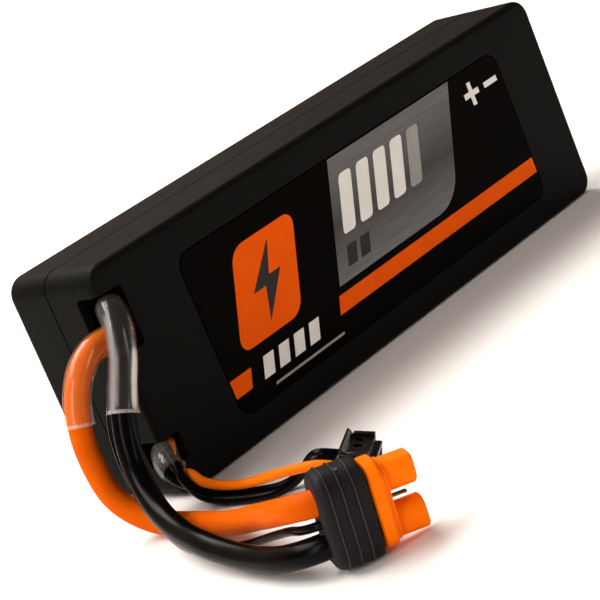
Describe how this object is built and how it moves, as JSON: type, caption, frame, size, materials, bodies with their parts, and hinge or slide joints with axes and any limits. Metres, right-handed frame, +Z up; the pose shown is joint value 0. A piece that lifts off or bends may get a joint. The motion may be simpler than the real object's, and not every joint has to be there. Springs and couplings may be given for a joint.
{
  "type": "lipo battery pack",
  "caption": "Hard-case lithium battery pack with a printed label, thick sleeved leads to a two-barrel connector with a ribbed boot, and a thin-wire balance plug.",
  "frame": {"origin": "middle of the long narrow side that the case stands on", "axes": "+X along the length of the case, away from the leads; +Y through its thickness, away from the label; +Z up"},
  "size_m": [0.1658, 0.096, 0.046],
  "materials": {
    "case_plastic": "satin moulded plastic",
    "label_vinyl": "gloss printed vinyl",
    "pouch_foil": "laminated foil",
    "foam": "closed-cell foam",
    "insulating_card": "matt card",
    "nickel": "plated strip",
    "aluminium": "plain strip",
    "board_laminate": "solder mask",
    "chip_resin": "moulded resin",
    "orange_silicone": "satin silicone",
    "black_silicone": "satin silicone",
    "clear_tubing": "clear glossy tubing",
    "orange_nylon": "satin moulded nylon",
    "black_rubber": "fine grained",
    "black_nylon": "satin moulded nylon",
    "brass": "plated"
  },
  "bodies": {
    "root": {"balance_contact_middle": "nickel", "balance_contact_negative": "nickel", "balance_contact_positive": "nickel", "balance_plug": "black_nylon", "balance_sleeve": "clear_tubing", "balance_wire_middle": "black_silicone", "balance_wire_negative": "black_silicone", "balance_wire_positive": "orange_silicone", "board": "board_laminate", "board_part_1": "chip_resin", "board_part_2": "chip_resin", "board_part_3": "chip_resin", "cell_front": "pouch_foil", "cell_pad": "foam", "cell_rear": "pouch_foil", "connector_body": "orange_nylon", "connector_boot": "black_rubber", "controller_chip": "chip_resin", "data_contact": "brass", "data_wire": "black_silicone", "end_cushion": "foam", "front_pad": "foam", "front_shell": "case_plastic", "label": "label_vinyl", "negative_contact": "brass", "negative_lead": "black_silicone", "negative_sleeve": "clear_tubing", "negative_tab_front": "nickel", "negative_tab_rear": "nickel", "negative_terminal": "nickel", "positive_contact": "brass", "positive_lead": "orange_silicone", "positive_sleeve": "clear_tubing", "positive_tab_front": "aluminium", "positive_tab_rear": "aluminium", "positive_terminal": "nickel", "rear_pad": "foam", "rear_shell": "case_plastic", "series_link": "nickel", "tab_insulator": "insulating_card"}
  },
  "joints": []
}
